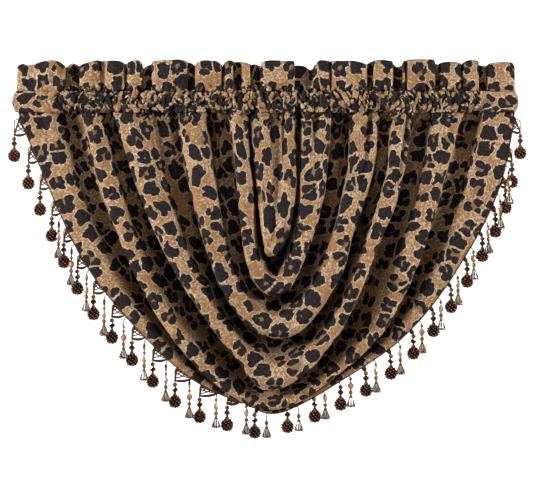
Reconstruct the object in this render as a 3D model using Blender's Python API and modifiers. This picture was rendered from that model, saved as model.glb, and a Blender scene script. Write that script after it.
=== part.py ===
"""A gathered swag valance: a ruffled header, an open rod pocket, one draped panel that falls in
nested U-shaped folds, and a beaded drop trim along the panel's hem.

Metres, +Z up. X runs along the rod, the front faces -Y, and the origin is the middle of the top edge.
Tables and named sizes are in millimetres, and at() turns them into metres.
"""
import math

import bmesh
import bpy
import numpy as np

MM = 0.001
COLLECTION = "swag_valance"
GAP = 0.3  # between pieces that touch

# Heights, measured down from the top edge
HEADER_HEIGHT = 76.0
POCKET_HEIGHT = 54.0
SEAM_DROP = HEADER_HEIGHT + POCKET_HEIGHT  # where the panel is sewn on

# Cloth
CLOTH = 2.0
HEADER_CLOTH = 4.0  # two layers stitched together
PANEL_COLUMNS = 38

# The panel's lines, from the middle of the drape out to the hem. Each is a U that leaves the seam,
# reaches its drop at bottom_x and climbs back. left and right give x where the line has fallen by
# LEVELS of its drop.
LEVELS = (0.0, 0.25, 0.5, 0.75, 0.9, 0.97)
LINES = (
    # name, drop, bottom_x, left, right
    ("centre", 320, 21, (22, 22, 22, 21, 21, 21), (22, 22, 22, 21, 21, 21)),
    ("tongue", 357, 18, (-33, -33, -28, -15, -4, 4), (74, 74, 73, 65, 53, 43)),
    ("inner", 454, 18, (-90, -75, -65, -51, -26, -5), (161, 154, 139, 102, 73, 46)),
    ("second", 562, 23, (-216, -194, -161, -112, -63, -24), (275, 265, 221, 174, 120, 72)),
    ("third", 685, 11, (-371, -319, -248, -142, -60, -20), (364, 335, 270, 196, 124, 66)),
    ("outer", 717, 16, (-452, -409, -340, -240, -138, -57), (482, 437, 381, 288, 162, 84)),
    ("hem", 737, 16, (-608, -530, -442, -292, -163, -50), (613, 573, 479, 334, 174, 85)),
)

# One fold between each two lines. fullness is its depth as a share of its width, front is how far its
# crest hangs in front of the seam at the bottom of the U, and undercut is how far its valley hides
# behind the lip of the fold before it.
FOLDS = (
    # line, fullness, deepest, front, undercut
    ("tongue", 0.42, 30, 56, 0.0),
    ("inner", 0.95, 76, 60, 0.14),
    ("second", 0.90, 84, 66, 0.15),
    ("third", 0.90, 86, 68, 0.15),
    ("outer", 0.80, 70, 46, 0.18),
    ("hem", 0.30, 28, 26, 0.10),
)
FOLD_AT_SEAM = 27.0  # depth of a fold where it leaves the seam
FOLD_GROWTH = 0.35  # how fast it deepens on the way down
FRONT_AT_SEAM = 13.0
BEHIND_SEAM = 14.0  # the furthest that a valley reaches back
TUCK = 0.42  # how far forward the cloth behind a lip lies, from the valley to the lip
BELLY_DROP = 420.0  # below the seam, where the drape hangs furthest forward
OVERHANG_FROM = (60.0, 320.0)  # the drop over which a fold goes from its top shape to its low shape

# A fold's section from the lip before it (across 0) to its own lip (across 1), and the tuck behind it.
# across_top is used at the seam and across_low further down, where the folds overhang.
SECTION = (
    # across_top, across_low, depth_top, depth_low
    (0.05, None, 0.0, 0.0),
    (0.15, 0.10, 0.0, 0.04),
    (0.27, 0.24, 0.04, 0.22),
    (0.38, 0.38, 0.24, 0.48),
    (0.46, 0.50, 0.66, 0.70),
    (0.55, 0.62, 0.92, 0.87),
    (0.70, 0.76, 1.0, 0.98),
    (0.87, 0.90, 1.0, 1.0),
    (0.975, 1.0, 0.80, 0.80),
    (1.02, 0.985, 0.34, 0.34),
)
TONGUE_SECTION = (
    (0.0, 0.0, 0.0, 0.0),
    (0.22, 0.22, 0.62, 0.62),
    (0.48, 0.48, 0.98, 0.98),
    (0.76, 0.76, 1.0, 1.0),
    (0.96, 1.0, 0.72, 0.72),
    (1.02, 0.985, 0.34, 0.34),
)
PANEL_SECTION = (
    (0.08, None, 0.0, 0.0),
    (0.18, 0.13, 0.12, 0.12),
    (0.30, 0.28, 0.50, 0.50),
    (0.46, 0.45, 0.88, 0.88),
    (0.72, 0.70, 1.0, 1.0),
    (1.0, 1.0, 0.98, 0.98),
)

# Small pleats that leave the seam and fade out on the way down
PLEATS = (
    # x at the seam, half_width, forward, reach
    (-545, 16, -6, 210),
    (-476, 20, 8, 220),
    (-388, 15, -7, 160),
    (-252, 20, 12, 260),
    (-118, 15, 10, 220),
    (-8, 12, 5, 260),
    (40, 12, -5, 300),
    (188, 16, 11, 220),
    (318, 22, 9, 240),
    (384, 14, 6, 150),
    (500, 18, 8, 200),
    (552, 14, -6, 210),
)

# Header flutes, left to right: each is a puff of cloth between two pinches
HEADER_LEFT = -607.0
FLUTES = (
    # width, forward, top_dip
    (113, 10, 4),
    (36, 8, 5),
    (66, 11, 3),
    (49, 9, 1),
    (40, 9, 0),
    (55, 7, 4),
    (70, 12, 0),
    (69, 11, 2),
    (52, 10, 0),
    (42, 7, 5),
    (128, 13, 2),
    (137, 12, 0),
    (74, 10, 0),
    (91, 12, 1),
    (57, 9, 3),
    (56, 11, 0),
    (84, 8, 6),
)
HEADER_COLUMNS = 104
HEADER_ROWS = 4
PINCH_BACK = 8.0  # how far a pinch sits behind the middle of the header
PINCH_DIP = 16.0  # how far the top edge dips at a pinch

# Rod pocket: a flattened tube, open at both ends
POCKET_HALF_WIDTH = 614.0
POCKET_END_SWELL = 0.014
POCKET_HALF_DEPTH = 13.0
POCKET_FULLNESS = 0.7
POCKET_COLUMNS = 92
POCKET_SIDE_POINTS = 3
CRINKLE = 1.7
CRINKLE_ENDS = 90.0  # the last stretch at each end lies nearly flat

# Bead trim
TAPE_INSIDE = 4.5  # of its width behind the cloth
TAPE_OUTSIDE = 3.0  # and below the cloth's edge
TAPE_BEHIND = 0.5
ROOT_ACROSS = 0.7  # where a strand starts in the tape's width
TAPE_THICKNESS = 1.6
TAPE_STARTS = 0.25  # how far into the hem's first span the tape begins, clear of the pocket
PAIR_SPACING = 73.4  # along the hem, one ball drop and one bell drop
PAIRS_EACH_SIDE = 14
BELL_BEYOND = 29.0
MIDDLE_BELL = (-12.0, 48.0)  # along the hem from its lowest point, and length
# Lengths run from near at the middle of the hem to usual, and to far next to the seam
DROPS = (
    # side, first_ball, near, usual, far, bell_longer, bare (pairs next to the seam with no bell)
    (-1, 41, 56, 86, 95, 5, 4),
    (1, 36, 40, 61, 88, 8, 2),
)
USUAL_FROM = 260.0  # along the hem, where drops reach their usual length
FAR_FROM = (680.0, 960.0)
SWING_OUT = 8.0  # how far a drop on the steep part of the hem stands off the cloth
SWING_AT_END = (15.0, 930.0, 980.0)  # the last drops swing out further, over this stretch of hem
BELL_LEAN = -17.0  # bells hang a little in front of their balls
THREAD = 1.3
ROOT_RADIUS = 0.8
SHOULDER = (7.0, 0.75)  # how far down a strand has swung outwards, and by what share of its step
CLEAR_OF_SHOULDER = 9.0
BALL_PROFILE = (
    # height above the ball's middle, radius
    (44, THREAD),
    (35, 7.0),
    (27, 2.0),
    (17, 6.0),
    (9, 13.5),
    (-2, 15.5),
    (-12, 11.5),
    (-18, 3.0),
)
BELL_PROFILE = (
    (46, THREAD),
    (32, 4.0),
    (20, THREAD),
    (11, 3.0),
    (-13, 10.5),
)

COLOURS = {
    # node: base colour, roughness
    "swag_panel": ((0.40, 0.24, 0.12), 0.85),
    "header_ruffle": ((0.40, 0.24, 0.12), 0.85),
    "rod_pocket": ((0.36, 0.21, 0.10), 0.85),
    "bead_trim": ((0.06, 0.03, 0.02), 0.35),
}


def at(x, depth, drop):
    """A point in metres: along the rod, in front of the seam, and below the top edge."""
    return np.stack(np.broadcast_arrays(x, -np.asarray(depth), -np.asarray(drop)), axis=-1) * MM


def smooth(knots, values, where):
    """A smooth curve through values at knots, read at where."""
    knots, values, where = (np.asarray(v, dtype=float) for v in (knots, values, where))
    steps = np.diff(knots)
    slopes = np.diff(values) / steps
    inner = (slopes[1:] * steps[:-1] + slopes[:-1] * steps[1:]) / (steps[1:] + steps[:-1])
    tangents = np.concatenate([slopes[:1], inner, slopes[-1:]])
    i = np.clip(np.searchsorted(knots, where, side="right") - 1, 0, len(steps) - 1)
    t = (where - knots[i]) / steps[i]
    a, b = tangents[i] * steps[i], tangents[i + 1] * steps[i]
    rise = values[i + 1] - values[i]
    return values[i] + t * (a + t * (3 * rise - 2 * a - b + t * (a + b - 2 * rise)))


def ease(value, start, end):
    """0 at start and 1 at end, smooth between them."""
    t = np.clip((value - start) / (end - start), 0, 1)
    return t * t * (3 - 2 * t)


def line_points(line, turns):
    """x and drop below the seam of a line, at turns from 0 (left seam) to pi (right seam)."""
    _, drop, bottom_x, left, right = line
    side = [math.asin(level) for level in LEVELS]
    knots = side + [math.pi / 2] + [math.pi - turn for turn in reversed(side)]
    return smooth(knots, [*left, bottom_x, *reversed(right)], turns), drop * np.sin(turns)


def section_rows():
    """Every row of the panel, as its fold's number and its places and depths, top and low."""
    for number, fold in enumerate(FOLDS):
        section = {"tongue": TONGUE_SECTION, "hem": PANEL_SECTION}.get(fold[0], SECTION)
        for across_top, across_low, depth_top, depth_low in section:
            across_low = -fold[4] if across_low is None else across_low
            yield number, across_top, across_low, depth_top, depth_low


def pleat_depth(seam_x, drop):
    """How far the small pleats bring the cloth forward."""
    return sum(
        forward * np.exp(-(((seam_x - x) / half_width) ** 2) - (drop / reach) ** 2)
        for x, half_width, forward, reach in PLEATS
    )


def panel_points():
    """The middle surface of the panel: a row for each section row, from the centre to the hem."""
    turns = np.linspace(0, math.pi, PANEL_COLUMNS)
    lines = [line_points(line, turns) for line in LINES]
    left_half = turns < math.pi / 2
    rows = []
    for number, across_top, across_low, depth_top, depth_low in section_rows():
        _, fullness, deepest, front, _ = FOLDS[number]
        (x0, drop0), (x1, drop1) = lines[number], lines[number + 1]
        width = np.hypot(x1 - x0, drop1 - drop0)
        if number == 0:
            width = (width + width[::-1]) / 2  # the tongue's two sides meet
        low = ease(drop1, *OVERHANG_FROM)
        across = across_top + (across_low - across_top) * low
        depth = depth_top + (depth_low - depth_top) * low
        x = x0 + (x1 - x0) * across
        drop = drop0 + (drop1 - drop0) * across
        hang = FRONT_AT_SEAM + (front - FRONT_AT_SEAM) * ease(drop, 0, BELLY_DROP)
        fold_depth = np.minimum(fullness * width, np.minimum(FOLD_AT_SEAM + FOLD_GROWTH * drop, deepest))
        fold_depth = np.minimum(fold_depth, hang + BEHIND_SEAM)
        forward = hang - fold_depth * (1 - depth)
        seam_x = np.where(left_half, x[0], x[-1])
        forward = forward + pleat_depth(seam_x, drop)
        rows.append(at(x, forward, drop + SEAM_DROP + GAP))
    rows = np.array(rows)
    numbers = np.array([row[0] for row in section_rows()])
    for last in np.flatnonzero(np.diff(numbers)):  # the tuck between a lip and the valley behind it
        rows[last, :, 1] = rows[last + 1, :, 1] + TUCK * (rows[last - 1, :, 1] - rows[last + 1, :, 1])
    return rows


def new_object(name, mesh):
    """An object of a finished mesh, in the model's collection with its material."""
    base_colour, roughness = COLOURS[name]
    material = bpy.data.materials.new(name)
    material.use_nodes = True
    shader = material.node_tree.nodes["Principled BSDF"]
    shader.inputs["Base Color"].default_value = (*base_colour, 1)
    shader.inputs["Roughness"].default_value = roughness
    mesh.materials.append(material)
    piece = bpy.data.objects.new(name, mesh)
    bpy.data.collections[COLLECTION].objects.link(piece)
    return piece


def sheet_mesh(name, points):
    """A grid whose points lie on a surface. Points that coincide are welded."""
    rows, columns = points.shape[:2]
    bm = bmesh.new()
    bmesh.ops.create_grid(bm, x_segments=columns - 1, y_segments=rows - 1, size=1)
    for vertex, point in zip(bm.verts, points.reshape(-1, 3)):
        vertex.co = point
    bmesh.ops.remove_doubles(bm, verts=bm.verts, dist=1e-5)
    bmesh.ops.recalc_face_normals(bm, faces=bm.faces)
    mesh = bpy.data.meshes.new(name)
    bm.to_mesh(mesh)
    bm.free()
    mesh.shade_smooth()
    return mesh


def cloth(name, points, thickness):
    """A sheet of cloth, thickened to both sides of its middle surface."""
    piece = new_object(name, sheet_mesh(name, points))
    shell = piece.modifiers.new("cloth", "SOLIDIFY")
    shell.thickness = thickness * MM
    shell.offset = 0
    return piece


def seam_depth(points, x):
    """How far in front of the origin the seam lies at x, read from the panel's top edge."""
    top = np.concatenate([points[::-1, 0], points[:, -1]])
    return np.interp(x, top[:, 0] / MM, -top[:, 1] / MM)


def flute_shape(x):
    """How far forward the header stands at x, and how far its top edge dips."""
    widths = np.array([flute[0] for flute in FLUTES], dtype=float)
    ends = HEADER_LEFT + np.cumsum(widths)
    number = np.minimum(np.searchsorted(ends, x), len(FLUTES) - 1)
    along = np.clip((x - ends[number] + widths[number]) / widths[number], 0, 1)
    puff = np.sin(math.pi * along) ** 0.6
    forward = np.array([flute[1] for flute in FLUTES])[number] * puff - PINCH_BACK * (1 - puff)
    dip = np.array([flute[2] for flute in FLUTES])[number] + PINCH_DIP * (1 - puff) ** 2
    return forward, dip


def header_points():
    """The middle surface of the ruffled header, from its top edge down to the pocket."""
    right = HEADER_LEFT + sum(flute[0] for flute in FLUTES)
    x = np.linspace(HEADER_LEFT, right, HEADER_COLUMNS)
    forward, dip = flute_shape(x)
    rows = []
    for share in np.linspace(0, 1, HEADER_ROWS):
        drop = dip + (HEADER_HEIGHT - GAP - dip) * share
        rows.append(at(x, forward * (1 - share) ** 0.7, drop))
    return np.array(rows)


def pocket_points(panel):
    """The middle surface of the rod pocket, once round from its lower seam."""
    x = np.linspace(-POCKET_HALF_WIDTH, POCKET_HALF_WIDTH, POCKET_COLUMNS)
    seam = seam_depth(panel, x)
    gathered = ease(POCKET_HALF_WIDTH - np.abs(x), 0, CRINKLE_ENDS)
    crinkle = CRINKLE * gathered * (-1) ** np.arange(POCKET_COLUMNS)
    half = math.pi / 2
    round_once = np.linspace(-half, 3 * half, 2 * POCKET_SIDE_POINTS + 3)
    top, bottom = HEADER_HEIGHT + CLOTH / 2, SEAM_DROP - CLOTH / 2
    rows = []
    for turn in round_once:
        up = (1 + math.sin(turn)) / 2
        bow = abs(math.cos(turn)) ** POCKET_FULLNESS
        swell = math.copysign(POCKET_HALF_DEPTH, math.cos(turn)) * bow
        depth = swell + crinkle * bow + seam * (1 - up) ** 4
        wide = x * (1 + POCKET_END_SWELL * math.cos(turn) ** 2)
        rows.append(at(wide, depth, bottom + (top - bottom) * up))
    return np.array(rows)


def hem_frame(panel):
    """The hem's points, the outward direction in the cloth, and the direction to its back."""
    edge, inside = panel[-1], panel[-2]
    along = np.gradient(edge, axis=0)
    outward = edge - inside
    back = np.cross(outward, along)
    back /= np.linalg.norm(back, axis=1, keepdims=True)
    back *= np.sign(back[:, 1:2])
    along /= np.linalg.norm(along, axis=1, keepdims=True)
    outward = np.cross(along, back)
    outward *= np.sign((outward * (edge - inside)).sum(axis=1, keepdims=True))
    return edge, outward, back


def tape_points(panel):
    """The middle surface of the trim's tape, behind the hem and a little proud of its edge."""
    edge, outward, back = hem_frame(panel)
    centre = edge + back * (CLOTH / 2 + TAPE_BEHIND + TAPE_THICKNESS / 2) * MM
    for end, inner in ((0, 1), (-1, -2)):
        centre[end] += (centre[inner] - centre[end]) * TAPE_STARTS
    return np.array([centre - outward * TAPE_INSIDE * MM, centre + outward * TAPE_OUTSIDE * MM])


def drop_places():
    """Each drop of the trim: its place along the hem from the middle, its profile and its length."""
    yield MIDDLE_BELL[0], BELL_PROFILE, MIDDLE_BELL[1]
    for side, first_ball, near, usual, far, bell_longer, bare in DROPS:
        for pair in range(PAIRS_EACH_SIDE):
            along = first_ball + pair * PAIR_SPACING
            length = near + (usual - near) * ease(along, 0, USUAL_FROM)
            length += (far - usual) * ease(along, *FAR_FROM)
            yield side * along, BALL_PROFILE, length
            if pair < PAIRS_EACH_SIDE - bare:
                yield side * (along + BELL_BEYOND), BELL_PROFILE, length + bell_longer


def strand(bm, root, outward, length, profile):
    """One hanging strand of four sides, its root inside the tape and its beads as swellings.

    outward is how far along X it stands off the hem once it hangs free.
    """
    lean = BELL_LEAN if profile is BELL_PROFILE else 0.0
    stations = [(0.0, 0.0, ROOT_RADIUS), (SHOULDER[0], SHOULDER[1], THREAD)]
    for height, radius in profile:
        if length - height > CLEAR_OF_SHOULDER:
            stations.append((length - height, 1.0, radius))
    rings = []
    for down, step, radius in stations:
        centre = root + at(outward * step, -lean * down / length, down)
        ring = [
            bm.verts.new(centre + at(radius * math.cos(turn), radius * math.sin(turn), 0))
            for turn in (i * math.pi / 2 for i in range(4))
        ]
        rings.append(ring)
    for upper, lower in zip(rings, rings[1:]):
        for i in range(4):
            bm.faces.new((upper[i], upper[(i + 1) % 4], lower[(i + 1) % 4], lower[i]))
    bm.faces.new(rings[0][::-1])
    bm.faces.new(rings[-1])


def strands_mesh(panel):
    """All the strands of the trim in one mesh."""
    tape = tape_points(panel)
    roots = tape[0] + (tape[1] - tape[0]) * ROOT_ACROSS
    outward = hem_frame(panel)[1][:, 0]
    steps = np.linalg.norm(np.diff(panel[-1][:, [0, 2]], axis=0), axis=1)
    arc = np.concatenate([[0], np.cumsum(steps)]) / MM
    lowest = arc[np.argmin(panel[-1][:, 2])]
    bm = bmesh.new()
    for along, profile, length in drop_places():
        place = np.clip(lowest + along, arc[0] + TAPE_OUTSIDE, arc[-1] - TAPE_OUTSIDE)
        root = np.array([np.interp(place, arc, roots[:, axis]) for axis in range(3)])
        end_swing, start, end = SWING_AT_END
        swing = SWING_OUT + (end_swing - SWING_OUT) * ease(abs(along), start, end)
        strand(bm, root, swing * np.interp(place, arc, outward), length, profile)
    bmesh.ops.recalc_face_normals(bm, faces=bm.faces)
    mesh = bpy.data.meshes.new("strands")
    bm.to_mesh(mesh)
    bm.free()
    return mesh


def trim(panel):
    """The bead trim: its tape with every strand fused to it."""
    tape = cloth("bead_trim", tape_points(panel), TAPE_THICKNESS)
    strands = bpy.data.objects.new("strands", strands_mesh(panel))
    strands.hide_render = True
    strands.display_type = "WIRE"
    bpy.data.collections["cutters"].objects.link(strands)
    union = tape.modifiers.new("strands", "BOOLEAN")
    union.operation = "UNION"
    union.object = strands
    return tape


def clear_scene():
    for piece in list(bpy.data.objects):
        bpy.data.objects.remove(piece)
    for name in (COLLECTION, "cutters"):
        collection = bpy.data.collections.new(name)
        bpy.context.scene.collection.children.link(collection)


def main():
    clear_scene()
    panel = panel_points()
    cloth("swag_panel", panel, CLOTH)
    cloth("rod_pocket", pocket_points(panel), CLOTH)
    cloth("header_ruffle", header_points(), HEADER_CLOTH)
    trim(panel)


main()
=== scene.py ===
"""A gathered swag valance in golden leopard jacquard: a ruffled header, a shirred rod pocket, one
draped panel in nested U-shaped folds, and a trim of hanging bead drops along its hem.

Metres, +Z up. X runs along the rod, the front faces -Y, and the origin is the middle of the top edge.
Tables and named sizes are in millimetres, and at() turns them into metres. Depths are counted forward
from the middle of the rod pocket, and drops down from the top edge.
"""
import math

import bpy
import numpy as np
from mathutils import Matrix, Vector


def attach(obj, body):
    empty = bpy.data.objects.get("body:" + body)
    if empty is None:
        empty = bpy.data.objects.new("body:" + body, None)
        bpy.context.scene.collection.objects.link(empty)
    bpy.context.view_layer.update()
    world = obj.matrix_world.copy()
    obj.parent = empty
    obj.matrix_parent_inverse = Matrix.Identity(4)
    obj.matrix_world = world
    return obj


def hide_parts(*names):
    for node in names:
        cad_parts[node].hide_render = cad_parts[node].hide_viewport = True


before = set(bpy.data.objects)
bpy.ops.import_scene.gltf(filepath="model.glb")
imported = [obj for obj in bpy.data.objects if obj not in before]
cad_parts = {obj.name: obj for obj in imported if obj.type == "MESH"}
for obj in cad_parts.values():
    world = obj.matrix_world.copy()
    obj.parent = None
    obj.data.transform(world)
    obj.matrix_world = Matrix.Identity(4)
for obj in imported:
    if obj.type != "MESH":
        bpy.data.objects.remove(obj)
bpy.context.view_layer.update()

MM = 0.001
RANDOM = np.random.default_rng(7)

# ---------------------------------------------------------------- sizes
HEADER_HEIGHT = 76.0
SEAM_DROP = 130.0  # from the top edge down to where the panel is sewn on
GAP = 0.3  # between pieces that touch
CLOTH = 2.0
HEADER_LAYER = 1.3
QUARTER_TURN = math.pi / 2
FULL_TURN = 2 * math.pi
GOLDEN_ANGLE = 2.399963  # radians

# The panel's lines, from the middle of the drape out to the hem. Each is a U that leaves the seam,
# reaches its drop at bottom_x and climbs back. left and right give x where the line has fallen by
# LEVELS of its drop.
LEVELS = (0.0, 0.25, 0.5, 0.75, 0.9, 0.97)
LINES = (
    # name, drop, bottom_x, left, right
    ("centre", 306, 14, (29, 29, 28, 22, 18, 15), (29, 29, 28, 22, 18, 15)),
    ("tongue", 353, 11, (-33, -31, -22, -12, -4, 1), (74, 75, 74, 63, 45, 29)),
    ("inner", 447, 20, (-90, -75, -65, -52, -33, -9), (161, 154, 140, 103, 77, 54)),
    ("second", 553, 30, (-216, -194, -162, -114, -65, -21), (275, 266, 223, 176, 121, 84)),
    ("third", 680, 8, (-371, -319, -248, -143, -63, -32), (364, 335, 271, 197, 124, 65)),
    ("outer", 729, 16, (-452, -406, -336, -233, -133, -60), (482, 435, 377, 281, 160, 85)),
    ("hem", 737, 16, (-608, -530, -442, -292, -163, -50), (613, 573, 479, 334, 174, 85)),
)

# One fold between each two lines. fullness is its depth as a share of its width, front is how far
# forward its crest hangs at the bottom of the U, and undercut is how far its valley hides behind the lip
# of the fold before it.
FOLDS = (
    # line, fullness, deepest, front, undercut
    ("tongue", 0.42, 30, 56, 0.0),
    ("inner", 0.95, 76, 60, 0.14),
    ("second", 0.90, 84, 66, 0.15),
    ("third", 0.90, 86, 68, 0.15),
    ("outer", 0.80, 70, 46, 0.18),
    ("hem", 0.45, 44, 26, 0.10),
)
FOLD_AT_SEAM = 27.0  # depth of a fold where it leaves the seam
FOLD_GROWTH = 0.35  # how fast it deepens on the way down
FRONT_AT_SEAM = 13.0
VALLEY_BACK = 20.0  # the furthest that a valley reaches back
FURTHEST_BACK = 32.5  # of any point of the panel
TUCK = 0.42  # how far forward the cloth behind a lip lies, from the valley to the lip
BELLY_DROP = 420.0  # below the seam, where the drape hangs furthest forward
OVERHANG_FROM = (170.0, 480.0)  # the drop over which a fold goes from its top shape to its low shape

# A fold's section from the lip before it (across 0) to its own lip (across 1), and the tuck behind it
SECTION = (
    # across_top, across_low, depth_top, depth_low
    (0.05, None, 0.0, 0.0),
    (0.16, 0.10, 0.0, 0.04),
    (0.30, 0.24, 0.0, 0.22),
    (0.41, 0.38, 0.14, 0.48),
    (0.46, 0.50, 0.60, 0.70),
    (0.53, 0.62, 0.94, 0.87),
    (0.70, 0.76, 1.0, 0.98),
    (0.87, 0.90, 1.0, 1.0),
    (0.975, 1.0, 0.80, 0.80),
    (1.02, 0.985, 0.34, 0.34),
)
TONGUE_SECTION = (
    (0.0, 0.0, 0.5, 0.95),
    (0.16, 0.22, 0.55, 0.97),
    (0.26, 0.48, 0.95, 1.0),
    (0.76, 0.76, 1.0, 1.0),
    (0.96, 1.0, 0.72, 0.72),
    (1.02, 0.985, 0.34, 0.34),
)
# The inner fold is steeper at its top, and like the others lower down
INNER_TOP = (
    # across_top, depth_top
    (0.03, 0.0), (0.08, 0.0), (0.14, 0.40), (0.21, 0.85), (0.32, 1.0),
    (0.50, 1.0), (0.70, 1.0), (0.87, 1.0), (0.975, 0.80), (1.02, 0.34),
)
INNER_SECTION = [(top[0], row[1], top[1], row[3]) for top, row in zip(INNER_TOP, SECTION)]
HEM_SECTION = (
    (0.08, None, 0.0, 0.0),
    (0.20, 0.13, 0.0, 0.08),
    (0.33, 0.28, 0.10, 0.42),
    (0.43, 0.42, 0.66, 0.84),
    (0.56, 0.60, 0.97, 1.0),
    (1.0, 1.0, 0.98, 0.98),
)
SECTIONS = {"tongue": TONGUE_SECTION, "inner": INNER_SECTION, "hem": HEM_SECTION}
PLEATS = (
    # x at the seam, half_width, forward, reach below the seam
    (-560, 14, -5, 160), (-484, 20, -10, 240), (-440, 10, 6, 170), (-403, 6, -7, 110),
    (-386, 11, -8, 160), (-340, 16, 6, 180), (-299, 10, -20, 260), (-252, 20, 12, 260),
    (-174, 12, 8, 200), (-142, 13, -15, 220), (-117, 10, 12, 200), (-72, 10, 8, 200), (-10, 9, 5, 260),
    (12, 4, -16, 170), (44, 4, -16, 190), (94, 9, 7, 160), (124, 6, -8, 60), (138, 9, 8, 170),
    (184, 11, 10, 200), (203, 8, -14, 200), (228, 11, 9, 220), (251, 7, -14, 170), (318, 18, 10, 220),
    (348, 9, -14, 210), (407, 7, -10, 170), (445, 12, 8, 190), (517, 13, -12, 170), (548, 12, 6, 160),
)
# Small pleats that only the finished cloth has
FINE_PLEATS = (
    (-585, 7, 3.0, 60), (-556, 8, -3.0, 80), (-531, 7, 3.2, 70), (-505, 6, -2.6, 60),
    (-448, 6, -3.2, 90), (-428, 7, 3.0, 70), (-404, 6, 3.0, 60), (-352, 7, -3.4, 110),
    (-334, 6, 3.0, 70), (-305, 8, 3.6, 80), (-286, 5, -3.2, 70), (-226, 6, -3.4, 90),
    (-196, 7, 3.2, 80), (-172, 6, -3.0, 70), (-150, 7, 3.0, 60), (-92, 6, -3.4, 90), (-66, 6, 3.2, 80),
    (-44, 5, -3.0, 110), (58, 6, 3.6, 150), (72, 5, -3.0, 110), (104, 7, 3.4, 80), (128, 6, -3.0, 70),
    (150, 6, 3.0, 60), (214, 6, -3.4, 90), (238, 7, 3.2, 80), (262, 6, -3.0, 70), (292, 6, 3.0, 60),
    (348, 7, -3.4, 110), (408, 6, -3.0, 80), (432, 7, 3.4, 90), (458, 6, -3.0, 70), (530, 7, -3.2, 90),
    (556, 7, 3.2, 70), (588, 6, -2.8, 60),
)
# Creases that run with the drape, seen from the front
CREASES = (
    # x, drop, angle from level, half_length, half_width, forward, sag
    (-2, 470, -24, 30, 4.5, 2.6, 3), (44, 474, 18, 26, 4.5, -2.4, 3), (18, 497, 0, 34, 5.0, 2.6, 6),
    (-30, 520, -30, 34, 5.0, -2.4, 4), (20, 552, -4, 44, 5.5, 2.8, 8), (64, 560, 24, 32, 5.0, 2.4, 4),
    (-36, 566, -28, 36, 4.5, -2.8, 4), (10, 600, -2, 46, 5.5, -2.6, 8), (36, 628, 8, 52, 5.0, 2.8, 8),
    (-38, 634, -24, 40, 5.0, 2.4, 5), (96, 604, 34, 34, 5.0, -2.4, 3), (0, 700, -3, 60, 5.5, -2.6, 7),
    (52, 716, 14, 46, 5.0, 2.6, 5), (-60, 706, -26, 44, 5.0, 2.4, 5), (120, 672, 36, 40, 5.0, 2.4, 3),
    (10, 752, 0, 60, 4.5, 2.4, 6), (-80, 760, -26, 44, 4.5, 2.2, 4), (96, 764, 24, 40, 4.5, -2.2, 4),
    (10, 812, 0, 56, 4.0, 2.2, 5), (-70, 806, -22, 40, 4.0, -2.2, 4), (84, 808, 22, 40, 4.0, 2.0, 4),
)
RUFFLE_PITCH = 34.0  # of the soft ruffles below the seam
RUFFLE_HEIGHT = 2.4
RUFFLE_REACH = 95.0
UNEVENNESS = (
    # pitch, seed, height, the drop below the seam over which it comes in
    (130, 5, 1.6, 10, 120),
    (46, 6, 0.55, 30, 160),
)
HEM_WIDTH = 27.0
HEM_RELIEF = 0.6  # of the groove along the top of the hem
HEM_GROOVE = 2.6  # half of the groove's width
CRUMPLE_REACH = 24.0  # how far the gathers of the pocket run on below the seam
SEAM_TUCK = 2.5  # of the panel's edge, inside the pocket's lower seam
PANEL_COLUMNS = 249
PANEL_ROWS = 178
FLATTEN_STEP = 4
SEAM_CROWDING = 0.25  # how much closer its columns stand next to the seam

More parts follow.
